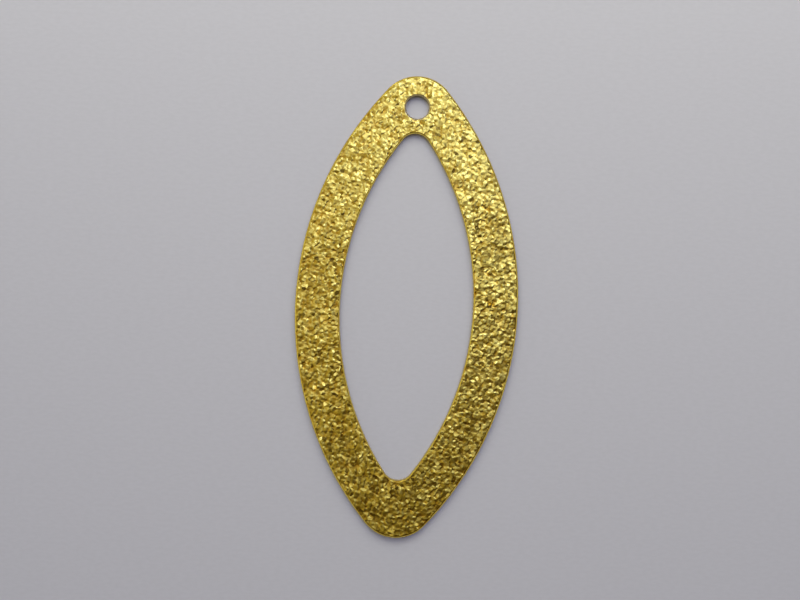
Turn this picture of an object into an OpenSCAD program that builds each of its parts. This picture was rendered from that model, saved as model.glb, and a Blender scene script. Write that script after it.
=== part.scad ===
// Marquise openwork pendant: one flat blanking of gold-plated brass sheet, with a pointed-oval
// cut-out and a round hanging hole at one tip.
// Lies on its back face: +Z is the front, +Y points at the hanging hole, and the origin is the
// middle of the outline on the back face. Millimetres.

/* [Outline] */
// Overall length, from tip to tip
pendant_length = 40; // [32:0.5:60]
// Overall width, across the middle
pendant_width = 19.3; // [16:0.1:24]
// Radius that rounds both tips
tip_radius = 3.4; // [2.6:0.1:4.2]

/* [Cut-out] */
// Width of the metal band along both sides
band_width = 3.9; // [2:0.1:5]
// Metal left on the long axis between the cut-out and each tip
tip_web = 5; // [4.8:0.1:7]
// Radius that rounds both ends of the cut-out
cutout_tip_radius = 1.35; // [0.5:0.05:1.8]

/* [Hanging hole] */
// Diameter of the hole, for a jump ring
hole_d = 2; // [1:0.1:2.3]
// Metal left between the hole and the tip
hole_margin = 1.7; // [1:0.1:1.9]

/* [Sheet] */
// Thickness of the sheet, over the tops of its grain
sheet_t = 0.5; // [0.45:0.05:1]
// Radius of the outline's rolled front edge
outline_roll = 0.2; // [0.05:0.01:0.2]
// Radius of the rolled front edge of the cut-out and the hole
pierced_roll = 0.2; // [0.05:0.01:0.2]

/* [Hidden] */
$fn = 96;

cutout_length = pendant_length - 2 * tip_web;
cutout_width = pendant_width - 2 * band_width;
hole_y = pendant_length / 2 - hole_margin - hole_d / 2;

// How far a piercing tool reaches past each face of the sheet
tool_reach = 1;
// How far the block that halves a swept lens reaches past each face of the sheet
half_reach = 2;
// The pierced edge's arc meets the front face at a slant: its centre lies this share of the radius below
roll_centre_share = 0.9;

// Rounds to as many decimals as exchange formats keep
function kept(value) = round(value * 1000) / 1000;

// Moves in a coarse and a fine step, so that the arcs stay tangent in a format that keeps few digits
module exact_move(position) {
    coarse = [for (value = position) kept(value)];
    translate(coarse)
        translate(position - coarse)
            children();
}

// Sweeps a half-profile, which draws itself out to the radius $rim, round the outline of a lens.
// Its two side arcs are tangent to the arcs that round its tips, and the swept pieces meet on
// planes through the centres of both arcs.
module lens_sweep(length, width, tip_r) {
    half_w = width / 2;
    tip_reach = length / 2 - tip_r;
    side_r = kept((half_w ^ 2 + tip_reach ^ 2 - tip_r ^ 2) / (2 * (half_w - tip_r)));
    join_angle = kept(atan2(tip_reach, side_r - half_w));
    side_centre = (side_r - tip_r) * cos(join_angle);
    tip_centre = (side_r - tip_r) * sin(join_angle);

    for (side = [0, 1])
        mirror([side, 0, 0])
            intersection() {
                exact_move([-side_centre, 0, 0])
                    rotate_extrude(angle = 2 * join_angle, start = -join_angle)
                        let ($rim = side_r) children();
                translate([0, -length / 2, -half_reach])
                    cube([width, length, sheet_t + 2 * half_reach]);
            }
    for (end = [0, 1])
        mirror([0, end, 0])
            exact_move([0, tip_centre, 0])
                rotate_extrude(angle = 180 - 2 * join_angle, start = join_angle)
                    let ($rim = tip_r) children();
}

// Half-profile of the blank: square at the back, rolled at the front edge
module blanked_profile() {
    square([$rim, sheet_t - outline_roll]);
    square([$rim - outline_roll, sheet_t]);
    translate([$rim - outline_roll, sheet_t - outline_roll])
        circle(outline_roll);
}

// Half-profile of a piercing tool: straight at the back, flared where it rolls the front edge
module piercing_profile() {
    centre_z = sheet_t - roll_centre_share * pierced_roll;
    translate([0, -tool_reach])
        square([$rim, sheet_t + 2 * tool_reach]);
    difference() {
        translate([0, centre_z])
            square([$rim + pierced_roll, sheet_t + tool_reach - centre_z]);
        translate([$rim + pierced_roll, centre_z])
            circle(pierced_roll);
    }
}

module cutout_tool() {
    lens_sweep(cutout_length, cutout_width, cutout_tip_radius) piercing_profile();
}

module hole_tool() {
    translate([0, hole_y, 0])
        rotate_extrude()
            let ($rim = hole_d / 2) piercing_profile();
}

module pendant_plate() {
    color("goldenrod")
        difference() {
            lens_sweep(pendant_length, pendant_width, tip_radius) blanked_profile();
            cutout_tool();
            hole_tool();
        }
}

pendant_plate();
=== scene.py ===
import math

import bpy
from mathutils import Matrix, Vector


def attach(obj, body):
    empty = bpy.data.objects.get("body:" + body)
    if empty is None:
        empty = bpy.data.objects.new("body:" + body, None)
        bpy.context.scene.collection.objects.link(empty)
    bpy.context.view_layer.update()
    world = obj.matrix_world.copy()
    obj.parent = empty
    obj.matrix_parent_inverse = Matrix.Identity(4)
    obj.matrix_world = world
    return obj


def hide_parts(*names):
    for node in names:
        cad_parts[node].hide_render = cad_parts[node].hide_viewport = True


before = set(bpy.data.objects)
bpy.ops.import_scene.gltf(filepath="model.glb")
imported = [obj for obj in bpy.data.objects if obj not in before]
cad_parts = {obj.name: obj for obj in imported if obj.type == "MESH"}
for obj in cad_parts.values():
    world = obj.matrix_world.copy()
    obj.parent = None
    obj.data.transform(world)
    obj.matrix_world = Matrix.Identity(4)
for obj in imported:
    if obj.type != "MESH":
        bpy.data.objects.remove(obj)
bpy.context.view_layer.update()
mm = 0.001  # the sizes below are in millimetres, Blender's are in metres
print("frame loaded:", sorted(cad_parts))


class Wire:  # one output socket, so that node maths reads as Python
    def __init__(self, graph, socket):
        self.graph = graph
        self.socket = socket

    def beside(self, output):  # another output of the same node
        return Wire(self.graph, self.socket.node.outputs[output])

    def maths(self, operation, *values):
        return self.graph.node("ShaderNodeMath", {"operation": operation}, dict(enumerate(values)))

    def __add__(self, other):
        return self.maths("ADD", self, other)

    def __radd__(self, other):
        return self.maths("ADD", other, self)

    def __sub__(self, other):
        return self.maths("SUBTRACT", self, other)

    def __rsub__(self, other):
        return self.maths("SUBTRACT", other, self)

    def __mul__(self, other):
        return self.maths("MULTIPLY", self, other)

    def __rmul__(self, other):
        return self.maths("MULTIPLY", other, self)

    def __truediv__(self, other):
        return self.maths("DIVIDE", self, other)

    def __rtruediv__(self, other):
        return self.maths("DIVIDE", other, self)

    def __neg__(self):
        return self.maths("MULTIPLY", self, -1.0)

    def __abs__(self):
        return self.maths("ABSOLUTE", self)

    def vector(self, operation, *values):  # vector maths, this wire first
        output = "Value" if operation == "DOT_PRODUCT" else "Vector"
        places = dict(enumerate((self, *values)))
        return self.graph.node("ShaderNodeVectorMath", {"operation": operation}, places, output)

    def part(self, axis):  # one coordinate of a vector
        return self.graph.node("ShaderNodeSeparateXYZ", sockets={0: self}, output=axis)

    def sin(self):
        return self.maths("SINE", self)

    def cos(self):
        return self.maths("COSINE", self)

    def exp(self):
        return self.maths("EXPONENT", self)

    def power(self, exponent):
        return self.maths("POWER", self, exponent)

    def sign(self):
        return self.maths("SIGN", self)

    def clamp(self):
        return self.maths("MINIMUM", self.maths("MAXIMUM", self, 0.0), 1.0)

    def angleTo(self, other):
        return self.maths("ARCTAN2", self, other)

    def ease(self, low, high, start=0.0, end=1.0):  # smooth step from start to end
        return self.graph.node("ShaderNodeMapRange", {"interpolation_type": "SMOOTHSTEP"}, {
            "Value": self, "From Min": low, "From Max": high, "To Min": start, "To Max": end})


class Graph:  # one node tree of any kind
    def __init__(self, tree):
        self.tree = tree

    def node(self, kind, settings=None, sockets=None, output=0):
        made = self.tree.nodes.new(kind)
        for name, value in (settings or {}).items():
            setattr(made, name, value)
        for name, value in (sockets or {}).items():
            for item in value if isinstance(value, list) else [value]:
                if isinstance(item, Wire):
                    self.tree.links.new(item.socket, made.inputs[name])
                else:
                    made.inputs[name].default_value = item
        return Wire(self, made.outputs[output]) if len(made.outputs) else made

    def mix(self, factor, low, high, kind="RGBA"):  # blends two colours, or two vectors
        first, result = {"RGBA": (6, 2), "VECTOR": (4, 1)}[kind]  # the node's own sockets for that kind
        places = {0: factor, first: low, first + 1: high}
        return self.node("ShaderNodeMix", {"data_type": kind}, places, result)

    def sockets(self, inputs, outputs):  # names the group's own sockets, and gives the inputs as wires
        kinds = {"float": "NodeSocketFloat", "geometry": "NodeSocketGeometry", "vector": "NodeSocketVector"}
        for name, kind in outputs.items():
            self.tree.interface.new_socket(name, in_out="OUTPUT", socket_type=kinds[kind])
        self.identifiers = {}
        for name, kind in inputs.items():
            made = self.tree.interface.new_socket(name, in_out="INPUT", socket_type=kinds[kind])
            self.identifiers[name] = made.identifier
        given = self.tree.nodes.new("NodeGroupInput")
        return {name: Wire(self, given.outputs[name]) for name in inputs}


def opaque(colour):
    return (*colour, 1.0)


# The gold-plated plate. Its sizes are the construction's own.
plate = {
    "Length": 40.0, "Width": 19.3, "Tip Radius": 3.4,
    "Band Width": 3.9, "Tip Web": 5.0, "Cut-out Tip Radius": 1.35,
    "Hole Diameter": 2.0, "Hole Margin": 1.7,
    "Sheet": 0.5, "Outline Roll": 0.2, "Pierced Roll": 0.2,
    "Facet Size": 0.34, "Facet Slope": 0.16, "Facet Blend": 0.2,
    "Pebble Size": 0.70, "Pebble Depth": 0.032, "Wave Size": 1.6, "Wave Depth": 0.025,
    "Grain Depth": 0.11, "Grain Top": 0.8, "Grain Full": 0.08, "Grain End": 0.25, "Seed": 7.0,
}
plateMesh = {  # cells round the outline, and rows across each strip of the section
    "stations": 1240, "sideShare": 0.88,
    "front": 64, "outer roll": 5, "outer wall": 1, "back": 2, "pierced wall": 1, "pierced roll": 3,
    "holeSides": 128, "holeRoll": 4, "punchReach": 4, "weld": 0.002, "sliver": 0.0002, "creaseAngle": 52.0,
}
rollCentre = 0.9  # the pierced roll's centre lies this share of its radius below the front
aslant = (0.6, 0.5, 0.4)  # turns a pattern's own lattice, so that none of its planes lies in the sheet
seedStep = (6.3, 9.1, 3.7)  # where the next seed's grain starts
softNoise = {"Detail": 2.0, "Roughness": 0.5}
midColour = (0.5, 0.5, 0.5)  # taken off a cell's colour, so that its lean goes either way


def lensOutline():
    # a point of a lens outline: two side arcs, tangent to the arcs that round its tips
    tree = bpy.data.node_groups.new("lensOutline", "GeometryNodeTree")
    g = Graph(tree)
    names = ("Station", "Length", "Width", "Tip Radius", "Offset")
    given = g.sockets({name: "float" for name in names}, {"Point": "vector"})
    tipR = given["Tip Radius"]
    offset = given["Offset"]
    halfWidth = given["Width"] / 2
    tipCentre = given["Length"] / 2 - tipR
    sideR = (halfWidth * halfWidth + tipCentre * tipCentre - tipR * tipR) / (2 * (halfWidth - tipR))
    sideCentre = sideR - halfWidth
    join = tipCentre.angleTo(sideCentre)
    rise = 1 - abs(2 * given["Station"] - 1)  # bottom tip to top tip and back again
    reach = abs(2 * rise - 1)  # middle of a side to a tip
    share = plateMesh["sideShare"]
    sideAngle = join * (reach / share).clamp()
    tipAngle = join + (math.pi / 2 - join) * ((reach - share) / (1 - share)).clamp()
    x = (sideR + offset) * sideAngle.cos() - sideCentre + (tipR + offset) * (tipAngle.cos() - join.cos())
    y = (sideR + offset) * sideAngle.sin() + (tipR + offset) * (tipAngle.sin() - join.sin())
    point = g.node("ShaderNodeCombineXYZ", sockets={
        "X": x * (0.5 - given["Station"]).sign(), "Y": y * (2 * rise - 1).sign()})
    g.node("NodeGroupOutput", sockets={"Point": point})
    return tree


def pressPlate(material):
    tree = bpy.data.node_groups.new("pressPlate", "GeometryNodeTree")
    g = Graph(tree)
    size = g.sockets({name: "float" for name in plate}, {"Geometry": "geometry"})
    lens = lensOutline()
    sheet = size["Sheet"]
    outerR = size["Outline Roll"]
    piercedR = size["Pierced Roll"]
    centreZ = sheet - rollCentre * piercedR
    slant = math.asin(rollCentre)  # where the pierced roll meets the front
    frontFlare = piercedR * (1 - math.cos(slant))

    def strip(name, blend, outerOffset, innerOffset, height):
        grid = g.node("GeometryNodeMeshGrid", sockets={
            "Size X": 1.0, "Size Y": 1.0,
            "Vertices X": plateMesh["stations"] + 1, "Vertices Y": plateMesh[name] + 1})
        place = g.node("GeometryNodeInputPosition")
        u = place.part("X") + 0.5
        w = place.part("Y") + 0.5
        outer = g.node("GeometryNodeGroup", {"node_tree": lens}, {
            "Station": u, "Length": size["Length"], "Width": size["Width"],
            "Tip Radius": size["Tip Radius"], "Offset": outerOffset(w)})
        inner = g.node("GeometryNodeGroup", {"node_tree": lens}, {
            "Station": u, "Length": size["Length"] - 2 * size["Tip Web"],
            "Width": size["Width"] - 2 * size["Band Width"],
            "Tip Radius": size["Cut-out Tip Radius"], "Offset": innerOffset(w)})
        flat = g.mix(blend(w), inner, outer, "VECTOR")
        lift = g.node("ShaderNodeCombineXYZ", sockets={"Z": height(w)})
        return g.node("GeometryNodeSetPosition", sockets={
            "Geometry": grid, "Position": flat.vector("ADD", lift)})

    def onRoll(w):
        return (1 - w) * (math.pi / 2)

    strips = [
        strip("front", lambda w: w, lambda w: -outerR, lambda w: frontFlare, lambda w: sheet),
        strip("outer roll", lambda w: 1.0, lambda w: outerR * (onRoll(w).cos() - 1), lambda w: 0.0,
              lambda w: sheet - outerR + outerR * onRoll(w).sin()),
        strip("outer wall", lambda w: 1.0, lambda w: 0.0, lambda w: 0.0,
              lambda w: (sheet - outerR) * (1 - w)),
        strip("back", lambda w: 1 - w, lambda w: 0.0, lambda w: 0.0, lambda w: 0.0),
        strip("pierced wall", lambda w: 0.0, lambda w: 0.0, lambda w: 0.0, lambda w: centreZ * w),
        strip("pierced roll", lambda w: 0.0, lambda w: 0.0, lambda w: piercedR * (1 - (slant * w).cos()),
              lambda w: centreZ + piercedR * (slant * w).sin()),
    ]
    ring = g.node("GeometryNodeJoinGeometry", sockets={"Geometry": strips})
    ring = g.node("GeometryNodeMergeByDistance", sockets={"Geometry": ring, "Distance": plateMesh["weld"]})
    ring = g.node("GeometryNodeFlipFaces", sockets={"Mesh": ring})

    # the grain, pressed into the front and over the rolled edges, and dying out down the walls
    place = g.node("GeometryNodeInputPosition")
    height = place.part("Z")
    flat = place.vector("MULTIPLY", (1.0, 1.0, 0.0))
    start = g.node("ShaderNodeCombineXYZ", sockets={
        axis: step * size["Seed"] for axis, step in zip("XYZ", seedStep)})
    spot = g.node("ShaderNodeVectorRotate", {"rotation_type": "EULER_XYZ"}, {
        "Vector": flat.vector("ADD", start), "Rotation": aslant})
    pebble, wave = (g.node("ShaderNodeTexNoise", {"noise_dimensions": "3D"}, {
        "Vector": spot, "Scale": 1 / size[name], **softNoise}) - 0.5
        for name in ("Pebble Size", "Wave Size"))
    lean = g.node("ShaderNodeTexVoronoi", {"voronoi_dimensions": "3D", "feature": "SMOOTH_F1"}, {
        "Vector": spot, "Scale": 1 / size["Facet Size"], "Smoothness": size["Facet Blend"]}, output="Color")
    away = spot.vector("SUBTRACT", lean.beside("Position"))
    facet = away.vector("DOT_PRODUCT", lean.vector("SUBTRACT", midColour))
    relief = size["Facet Slope"] * facet + size["Pebble Depth"] * pebble + size["Wave Depth"] * wave
    grain = (relief / size["Grain Depth"] + 0.5).clamp()
    pressed = height.ease(sheet - size["Grain End"], sheet - size["Grain Full"])
    below = size["Grain Depth"] * (size["Grain Top"] - grain).clamp()  # its tops keep the front's height
    sink = g.node("ShaderNodeVectorMath", {"operation": "SCALE"}, {
        0: g.node("GeometryNodeInputNormal"), "Scale": -below * pressed})
    for name, value in (("grain", grain), ("front", pressed)):
        ring = g.node("GeometryNodeStoreNamedAttribute", {"data_type": "FLOAT", "domain": "POINT"}, {
            "Geometry": ring, "Name": name, "Value": value})
    ring = g.node("GeometryNodeSetPosition", sockets={"Geometry": ring, "Offset": sink})

    # the hanging hole, pierced through the grain: cones that touch the roll's arc round its edge
    holeR = size["Hole Diameter"] / 2
    holeY = size["Length"] / 2 - size["Hole Margin"] - holeR
    punch = g.node("GeometryNodeMeshCylinder", sockets={
        "Vertices": plateMesh["holeSides"], "Radius": holeR, "Depth": plateMesh["punchReach"] * sheet})
    tools = [(punch, 0.0)]
    for step in range(plateMesh["holeRoll"]):
        turn = slant * (step + 0.5) / plateMesh["holeRoll"]
        touchR = holeR + piercedR * (1 - math.cos(turn))
        touchZ = centreZ + piercedR * math.sin(turn) - size["Grain Depth"] * (size["Grain Top"] - 0.5)
        spread = piercedR * math.tan(turn)
        cone = g.node("GeometryNodeMeshCone", sockets={
            "Vertices": plateMesh["holeSides"], "Depth": 2 * piercedR,
            "Radius Bottom": touchR - spread, "Radius Top": touchR + spread})
        tools.append((cone, touchZ - piercedR))
    placed = []
    for tool, z in tools:
        where = g.node("ShaderNodeCombineXYZ", sockets={"Y": holeY, "Z": z})
        placed.append(g.node("GeometryNodeTransform", sockets={"Geometry": tool, "Translation": where}))
    ring = g.node("GeometryNodeMeshBoolean", {"operation": "DIFFERENCE", "solver": "MANIFOLD"}, {
        "Mesh 1": ring, "Mesh 2": placed})
    ring = g.node("GeometryNodeMergeByDistance", sockets={"Geometry": ring, "Distance": plateMesh["sliver"]})

    ring = g.node("GeometryNodeTransform", sockets={"Geometry": ring, "Scale": (mm, mm, mm)})
    ring = g.node("GeometryNodeSetShadeSmooth", {"domain": "FACE"}, {0: ring, "Shade Smooth": True})
    bend = g.node("GeometryNodeInputMeshEdgeAngle")
    crease = g.node("FunctionNodeCompare", {"operation": "GREATER_THAN"}, {
        0: bend, 1: math.radians(plateMesh["creaseAngle"])})
    ring = g.node("GeometryNodeSetShadeSmooth", {"domain": "EDGE"}, {
        0: ring, "Selection": crease, "Shade Smooth": False})
    ring = g.node("GeometryNodeRealizeInstances", sockets={"Geometry": ring})
    ring = g.node("GeometryNodeSetMaterial", sockets={"Geometry": ring, "Material": material})
    g.node("NodeGroupOutput", sockets={"Geometry": ring})
    return tree, g.identifiers


def plainMesh(name, tree, identifiers, values):
    # runs the tree once and keeps its result as an ordinary mesh
    maker = bpy.data.objects.new(name + ".maker", bpy.data.meshes.new(name + ".maker"))
    bpy.context.scene.collection.objects.link(maker)
    modifier = maker.modifiers.new("press", "NODES")
    modifier.node_group = tree
    for key, value in values.items():
        modifier[identifiers[key]] = value
    evaluated = maker.evaluated_get(bpy.context.evaluated_depsgraph_get())
    mesh = bpy.data.meshes.new_from_object(evaluated)
    maker.modifiers.remove(modifier)
    bpy.data.objects.remove(maker)
    mesh.name = name
    piece = bpy.data.objects.new(name, mesh)
    bpy.context.scene.collection.objects.link(piece)
    return piece


gold = {
    # the valley colour darkens the grain's hollows: partly tarnish, partly painted shade
    "crown": (0.92, 0.72, 0.105), "valleyTarnishAndShade": (0.60, 0.30, 0.005), "crownFrom": 0.15, "crownTo": 0.62,
    # the edge colour darkens the walls: partly a duller sheared edge, partly painted shade
    "satin": (0.88, 0.68, 0.18), "edge": (0.64, 0.54, 0.26), "edgeFrom": 0.02, "edgeTo": 0.06,
    "roughness": 0.15, "satinRoughness": 0.30, "roughnessSpread": 0.08,
    "lacquer": 0.08, "lacquerRoughness": 0.08,
    "glintSize": (0.33, 0.24, 0.24), "glintBlend": 0.15, "glintLean": 0.14,
    "glintFlash": 0.40, "flashPower": 5.0,
    "fineSize": (0.11, 0.11, 0.11), "brushSize": (0.05, 1.5, 0.05), "fineDepth": 0.0012, "fineTone": 0.2,
}


def goldPlate():
    material = bpy.data.materials.new("goldPlate")
    material.use_nodes = True
    material.node_tree.nodes.clear()
    g = Graph(material.node_tree)
    place = g.node("ShaderNodeTexCoord", output="Object")
    grain = g.node("ShaderNodeAttribute", {"attribute_name": "grain"}, output="Fac")
    front = g.node("ShaderNodeAttribute", {"attribute_name": "front"}, output="Fac")

    def inCells(size):  # the place, counted in cells of this size
        return place.vector("DIVIDE", tuple(side * mm for side in size))

    fine, brushed = (g.node("ShaderNodeTexNoise", sockets={
        "Vector": inCells(gold[name]), "Scale": 1.0, **softNoise}) for name in ("fineSize", "brushSize"))
    texture = brushed + (fine - brushed) * front  # fine on the front, brushed on the back and the edges
    turned = g.node("ShaderNodeVectorRotate", {"rotation_type": "EULER_XYZ"}, {
        "Vector": inCells(gold["glintSize"]), "Rotation": aslant})
    lean = g.node("ShaderNodeTexVoronoi", {"feature": "SMOOTH_F1"}, {
        "Vector": turned, "Scale": 1.0, "Smoothness": gold["glintBlend"]}, output="Color")
    flash = lean.part("Z").power(gold["flashPower"])  # a few lean much further than the rest
    lean = g.node("ShaderNodeVectorMath", {"operation": "SCALE"}, {
        0: lean.vector("SUBTRACT", midColour),
        "Scale": (gold["glintLean"] + gold["glintFlash"] * flash) * front})
    normal = g.node("ShaderNodeNewGeometry", output="Normal")
    glint = normal.vector("ADD", lean).vector("NORMALIZE")  # each small face of the grain leans its own way
    bump = g.node("ShaderNodeBump", sockets={
        "Distance": gold["fineDepth"] * mm, "Height": texture, "Normal": glint})
    level = 0.5 + (grain - 0.5) * front
    tone = (level + gold["fineTone"] * (texture - 0.5)).ease(gold["crownFrom"], gold["crownTo"])
    crown = g.mix(front, opaque(gold["satin"]), opaque(gold["crown"]))
    # low grain takes the darker, deeper valley colour: partly tarnish, partly painted shade in the hollows
    colour = g.mix(tone, opaque(gold["valleyTarnishAndShade"]), crown)
    # the walls and the lower rolled edges take the darker, greyer edge colour: partly a duller sheared edge,
    # partly painted shade
    edge = (1 - front) * place.part("Z").ease(gold["edgeFrom"] * mm, gold["edgeTo"] * mm)
    colour = g.mix(edge, colour, opaque(gold["edge"]))
    satin = gold["satinRoughness"] + (gold["roughness"] - gold["satinRoughness"]) * front
    shader = g.node("ShaderNodeBsdfPrincipled", sockets={
        "Base Color": colour, "Metallic": 1.0, "Normal": bump,
        "Coat Weight": gold["lacquer"], "Coat Roughness": gold["lacquerRoughness"],
        "Roughness": satin + gold["roughnessSpread"] * (texture - 0.5)})
    g.node("ShaderNodeOutputMaterial", sockets={"Surface": shader})
    return material


goldMaterial = goldPlate()
pressTree, pressInputs = pressPlate(goldMaterial)
pendant = plainMesh("pendant", pressTree, pressInputs, plate)
print("pendant pressed:", len(pendant.data.vertices), "vertices,", len(pendant.data.polygons), "faces")
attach(pendant, "root")
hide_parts("pendant_plate")


# The stage: a sheet of pale paper under soft light from the top of the picture.
stage = {
    "paper": (0.52, 0.515, 0.475), "paperShade": (0.505, 0.50, 0.46), "paperSize": 3.0, "paperDrop": 0.02,
    "paperFar": (0.88, 0.88, 0.74), "farFrom": 0.05, "farTo": 0.25,
    "paperRoughness": 0.95, "paperGloss": 0.1,
    "fibreSize": (0.6, 0.25, 0.6), "mottleFrom": 0.3, "mottleTo": 0.7,
    "softboxes": [
        {"place": (-0.05, 0.13, 0.09), "size": 0.10, "power": 0.115},
        {"place": (0.06, 0.13, 0.09), "size": 0.10, "power": 0.120},
        {"place": (-0.04, 0.12, 0.20), "size": 0.12, "power": 0.04},
    ],
    "boxColour": (1.0, 1.0, 1.02), "room": (0.026, 0.013, 0.001),
    "horizon": (0.40, 0.39, 0.38), "horizonFull": 0.1, "horizonEnd": 0.6,
}
panels = {  # soft panels of light: bearing from +X and tilt from overhead, with the spread, all in degrees
    "upper overhead": {"bearing": 76, "tilt": 18, "spread": 11, "glow": (0.90, 1.06, 2.4)},
    "upper spot": {"bearing": 62, "tilt": 26, "spread": 6, "glow": (1.7, 2.1, 5.8)},
    "left overhead": {"bearing": 160, "tilt": 20, "spread": 18, "glow": (0.33, 0.28, 0.10)},
    "upper wash": {"bearing": 95, "tilt": 57, "spread": 22, "glow": (0.26, 0.25, 0.23)},
    "upper window": {"bearing": 122, "tilt": 58, "spread": 7, "glow": (2.0, 2.0, 2.0)},
    "left wash": {"bearing": 180, "tilt": 70, "spread": 25, "glow": (0.50, 0.50, 0.50)},
    "right wash": {"bearing": 0, "tilt": 70, "spread": 25, "glow": (0.22, 0.21, 0.18)},
}


def paperFloor():
    half = stage["paperSize"] / 2
    corners = [(-half, -half, 0), (half, -half, 0), (half, half, 0), (-half, half, 0)]
    mesh = bpy.data.meshes.new("paper")
    mesh.from_pydata(corners, [], [(0, 1, 2, 3)])
    paper = bpy.data.objects.new("paper", mesh)
    paper.location.z = -stage["paperDrop"] * mm
    bpy.context.scene.collection.objects.link(paper)
    material = bpy.data.materials.new("paper")
    material.use_nodes = True
    material.node_tree.nodes.clear()
    g = Graph(material.node_tree)
    place = g.node("ShaderNodeTexCoord", output="Object")
    fibres = place.vector("DIVIDE", tuple(side * mm for side in stage["fibreSize"]))
    mottle = g.node("ShaderNodeTexNoise", sockets={"Vector": fibres, "Scale": 1.0, **softNoise})
    mottled = mottle.ease(stage["mottleFrom"], stage["mottleTo"])
    colour = g.mix(mottled, opaque(stage["paperShade"]), opaque(stage["paper"]))
    far = g.node("ShaderNodeVectorMath", {"operation": "LENGTH"}, {0: place}, output="Value")
    colour = g.mix(far.ease(stage["farFrom"], stage["farTo"]), colour, opaque(stage["paperFar"]))
    shader = g.node("ShaderNodeBsdfPrincipled", sockets={
        "Base Color": colour, "Roughness": stage["paperRoughness"],
        "Specular IOR Level": stage["paperGloss"]})
    g.node("ShaderNodeOutputMaterial", sockets={"Surface": shader})
    mesh.materials.append(material)


def softLight():
    for number, box in enumerate(stage["softboxes"]):
        lamp = bpy.data.lights.new("softbox", "AREA")
        lamp.shape = "DISK"
        lamp.size = box["size"]
        lamp.energy = box["power"]
        lamp.color = stage["boxColour"]
        holder = bpy.data.objects.new("softbox." + str(number), lamp)
        holder.location = box["place"]
        holder.visible_camera = False
        holder.visible_glossy = False  # these light the paper, and the gold mirrors the panels
        holder.rotation_euler = Vector(box["place"]).to_track_quat("Z", "Y").to_euler()
        bpy.context.scene.collection.objects.link(holder)
    world = bpy.data.worlds.new("room")
    world.use_nodes = True
    world.node_tree.nodes.clear()
    bpy.context.scene.world = world
    g = Graph(world.node_tree)
    way = g.node("ShaderNodeTexCoord", output="Generated")
    low = way.part("Z").ease(stage["horizonFull"], stage["horizonEnd"], 1.0, 0.0)
    glow = low.vector("MULTIPLY_ADD", stage["horizon"], stage["room"])
    for panel in panels.values():
        bearing = math.radians(panel["bearing"])
        tilt = math.radians(panel["tilt"])
        axis = (math.sin(tilt) * math.cos(bearing), math.sin(tilt) * math.sin(bearing), math.cos(tilt))
        lobe = ((way.vector("DOT_PRODUCT", axis) - 1) / math.radians(panel["spread"]) ** 2).exp()
        glow = lobe.vector("MULTIPLY_ADD", panel["glow"], glow)
    sky = g.node("ShaderNodeBackground", sockets={"Color": glow})
    g.node("ShaderNodeOutputWorld", sockets={"Surface": sky})


view = {
    "height": 0.09, "lean": 3.14,
    "pixelsPerMm": 11.554, "originPixel": (406.47, 307.0), "frame": (800, 600),
    "sensor": 36.0, "nearClip": 0.01,
}


def overhead():
    wide, tall = view["frame"]
    turn = math.radians(view["lean"])
    right = (wide / 2 - view["originPixel"][0]) / view["pixelsPerMm"] * mm
    up = (view["originPixel"][1] - tall / 2) / view["pixelsPerMm"] * mm
    x = right * math.cos(turn) - up * math.sin(turn)
    y = right * math.sin(turn) + up * math.cos(turn)
    camera = bpy.data.cameras.new("overhead")
    level = plate["Sheet"] / 2 * mm
    camera.sensor_width = view["sensor"]
    camera.lens = view["sensor"] * (view["height"] - level) / (wide / view["pixelsPerMm"] * mm)
    camera.clip_start = view["nearClip"]
    holder = bpy.data.objects.new("overhead", camera)
    holder.location = (x, y, view["height"])
    holder.rotation_euler = (0.0, 0.0, turn)
    bpy.context.scene.collection.objects.link(holder)
    bpy.context.scene.camera = holder


paperFloor()
softLight()
overhead()
bpy.context.scene.view_settings.view_transform = "Standard"
print("stage, light and camera set")

bpy.context.view_layer.update()
